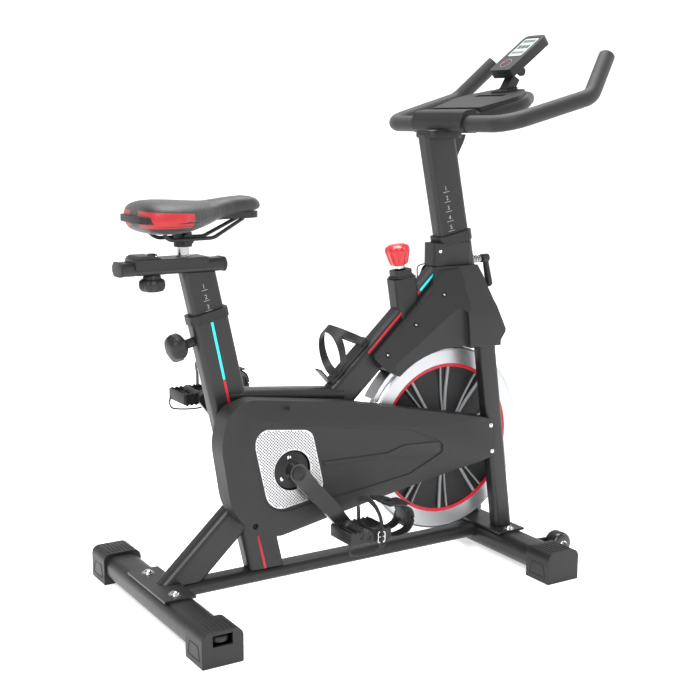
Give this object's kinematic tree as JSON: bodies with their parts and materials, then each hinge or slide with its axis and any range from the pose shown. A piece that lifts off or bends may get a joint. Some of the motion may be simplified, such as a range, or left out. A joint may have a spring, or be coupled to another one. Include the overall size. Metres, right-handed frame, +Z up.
{
  "type": "indoor spin bike",
  "caption": "Stationary indoor cycling bike with a belt-driven flywheel, cage pedals, sliding saddle and handlebar posts, magnet brake and a small console.",
  "frame": {"origin": "on the floor under the middle of the whole bike", "axes": "+X is the way the rider faces, +Y the rider's left, +Z up"},
  "size_m": [1.0007, 0.53, 1.1111],
  "materials": {
    "frame_paint": "satin black powder coat",
    "bright_steel": "polished",
    "plain_steel": "turned",
    "rim_steel": "fine turned",
    "cover_plastic": "fine moulded grain",
    "grille_metal": "perforated satin",
    "trim_plastic": "moulded",
    "belt_rubber": "matte",
    "arm_paint": "semi-gloss black",
    "roller_plastic": "smooth",
    "saddle_cover": "soft grained cover",
    "saddle_shell": "moulded",
    "bar_coat": "matte dipped coat",
    "red_plastic": "satin red"
  },
  "bodies": {
    "frame": {"rear_stabilizer": "frame_paint", "front_stabilizer": "frame_paint", "base_rail": "frame_paint", "main_tube": "frame_paint", "seat_tube": "frame_paint", "top_tube": "frame_paint", "head_tube": "frame_paint", "fork_crown": "frame_paint", "fork_legs": "frame_paint", "mounting_plates": "frame_paint", "stabilizer_bolts": "bright_steel", "bottom_bracket_shell": "frame_paint", "bottom_bracket_bearings": "plain_steel", "axle_dropouts": "frame_paint", "flywheel_axle": "plain_steel", "belt_cover_outer": "cover_plastic", "belt_cover_inner": "cover_plastic", "cover_grille": "grille_metal", "cover_screws": "plain_steel", "shroud_right": "cover_plastic", "shroud_left": "cover_plastic", "head_cover": "cover_plastic", "seat_collar": "trim_plastic", "head_collar": "trim_plastic", "brake_boot": "trim_plastic", "bottle_cage": "trim_plastic", "foot_caps": "trim_plastic", "drive_belt": "belt_rubber"},
    "flywheel_wheel": {"flywheel": "rim_steel", "flywheel_hub": "plain_steel"},
    "crank": {"crank_axle": "plain_steel", "drive_pulley": "trim_plastic", "crank_arm_right": "arm_paint", "crank_arm_left": "arm_paint"},
    "right_pedal": {"pedal_right": "trim_plastic"},
    "left_pedal": {"pedal_left": "trim_plastic"},
    "seat": {"seat_post": "frame_paint", "seat_rail": "frame_paint"},
    "carriage": {"saddle_carriage": "frame_paint"},
    "rail_knob": {"carriage_knob": "trim_plastic"},
    "saddle": {"saddle_clamp": "plain_steel", "saddle_base": "saddle_shell", "saddle_cushion": "saddle_cover"},
    "post_pin": {"seat_pin": "trim_plastic"},
    "bars": {"handlebar_post": "frame_paint", "handlebar": "bar_coat", "bar_bracket": "trim_plastic", "arm_loop": "bar_coat", "media_tray": "trim_plastic", "console_mount": "trim_plastic"},
    "console": {"console_housing": "trim_plastic"},
    "button": {"console_button": "trim_plastic"},
    "brake_plunger": {"brake_rod": "bright_steel"},
    "tension_knob": {"brake_knob": "red_plastic"},
    "magnet_shoe": {"brake_arm": "plain_steel"},
    "clamp_lever": {"head_lever": "arm_paint"},
    "right_roller": {"transport_wheel_right": "roller_plastic"},
    "left_roller": {"transport_wheel_left": "roller_plastic"},
    "right_leveler": {"leveling_wheel_right": "trim_plastic"},
    "left_leveler": {"leveling_wheel_left": "trim_plastic"}
  },
  "joints": [
    {"name": "flywheel_spin", "type": "hinge", "parent": "frame", "child": "flywheel_wheel", "pos_m": [0.222, 0, 0.266], "axis": [0, 1, 0], "continuous": true},
    {"name": "crank_spin", "type": "hinge", "parent": "frame", "child": "crank", "pos_m": [-0.185, 0, 0.269], "axis": [0, 1, 0], "continuous": true},
    {"name": "pedal_right_spin", "type": "hinge", "parent": "crank", "child": "right_pedal", "pos_m": [-0.08959, -0.17, 0.15326], "axis": [0, 1, 0], "continuous": true},
    {"name": "pedal_left_spin", "type": "hinge", "parent": "crank", "child": "left_pedal", "pos_m": [-0.28041, 0.17, 0.38474], "axis": [0, 1, 0], "continuous": true},
    {"name": "seat_height", "type": "slide", "parent": "frame", "child": "seat", "axis": [-0.2198, 0, 0.9755], "range_m": [-0.045, 0.1]},
    {"name": "saddle_fore_aft", "type": "slide", "parent": "seat", "child": "carriage", "axis": [1, 0, 0], "range_m": [-0.02, 0.03]},
    {"name": "rail_knob_turn", "type": "hinge", "parent": "carriage", "child": "rail_knob", "pos_m": [-0.436, 0, 0.64], "axis": [0, 0, 1], "continuous": true},
    {"name": "saddle_tilt", "type": "hinge", "parent": "carriage", "child": "saddle", "pos_m": [-0.373, 0, 0.721], "axis": [0, 1, 0], "range_deg": [-10, 10]},
    {"name": "seat_pin_pull", "type": "slide", "parent": "frame", "child": "post_pin", "axis": [-0.9755, 0, -0.2198], "range_m": [0, 0.01], "stiffness_N_per_m": 900, "springref_m": -0.004},
    {"name": "bar_height", "type": "slide", "parent": "frame", "child": "bars", "axis": [-0.1977, 0, 0.9803], "range_m": [-0.1, 0.03]},
    {"name": "console_tilt", "type": "hinge", "parent": "bars", "child": "console", "pos_m": [0.39959, 0, 1.03449], "axis": [0, 1, 0], "range_deg": [-10, 25]},
    {"name": "button_press", "type": "slide", "parent": "console", "child": "button", "axis": [0.599, 0, -0.8007], "range_m": [0, 0.001], "stiffness_N_per_m": 800, "springref_m": -0.0005},
    {"name": "brake_push", "type": "slide", "parent": "frame", "child": "brake_plunger", "axis": [0.1599, 0, -0.9871], "range_m": [0, 0.012], "stiffness_N_per_m": 1500, "springref_m": -0.006},
    {"name": "brake_knob_turn", "type": "hinge", "parent": "brake_plunger", "child": "tension_knob", "pos_m": [0.11073, 0, 0.645], "axis": [-0.1599, 0, 0.9871], "continuous": true},
    {"name": "magnet_shoe_swing", "type": "hinge", "parent": "frame", "child": "magnet_shoe", "pos_m": [0.08655, 0, 0.43936], "axis": [0, 1, 0], "range_deg": [-2.5, 0]},
    {"name": "head_lever_turn", "type": "hinge", "parent": "frame", "child": "clamp_lever", "pos_m": [0.322, 0, 0.645], "axis": [1, 0, 0], "range_deg": [-120, 120]},
    {"name": "roller_right_spin", "type": "hinge", "parent": "frame", "child": "right_roller", "pos_m": [0.428, -0.154, 0.037], "axis": [0, 1, 0], "continuous": true},
    {"name": "roller_left_spin", "type": "hinge", "parent": "frame", "child": "left_roller", "pos_m": [0.428, 0.154, 0.037], "axis": [0, 1, 0], "continuous": true},
    {"name": "leveler_right_turn", "type": "hinge", "parent": "frame", "child": "right_leveler", "pos_m": [-0.433, -0.2445, 0.042], "axis": [0, 0, 1], "continuous": true},
    {"name": "leveler_left_turn", "type": "hinge", "parent": "frame", "child": "left_leveler", "pos_m": [-0.433, 0.2445, 0.042], "axis": [0, 0, 1], "continuous": true}
  ],
  "couplings": [
    {"joint": "crank_spin", "follows": "flywheel_spin", "ratio": 0.28571},
    {"joint": "magnet_shoe_swing", "follows": "brake_push", "rad_per_m": -3.6325}
  ]
}
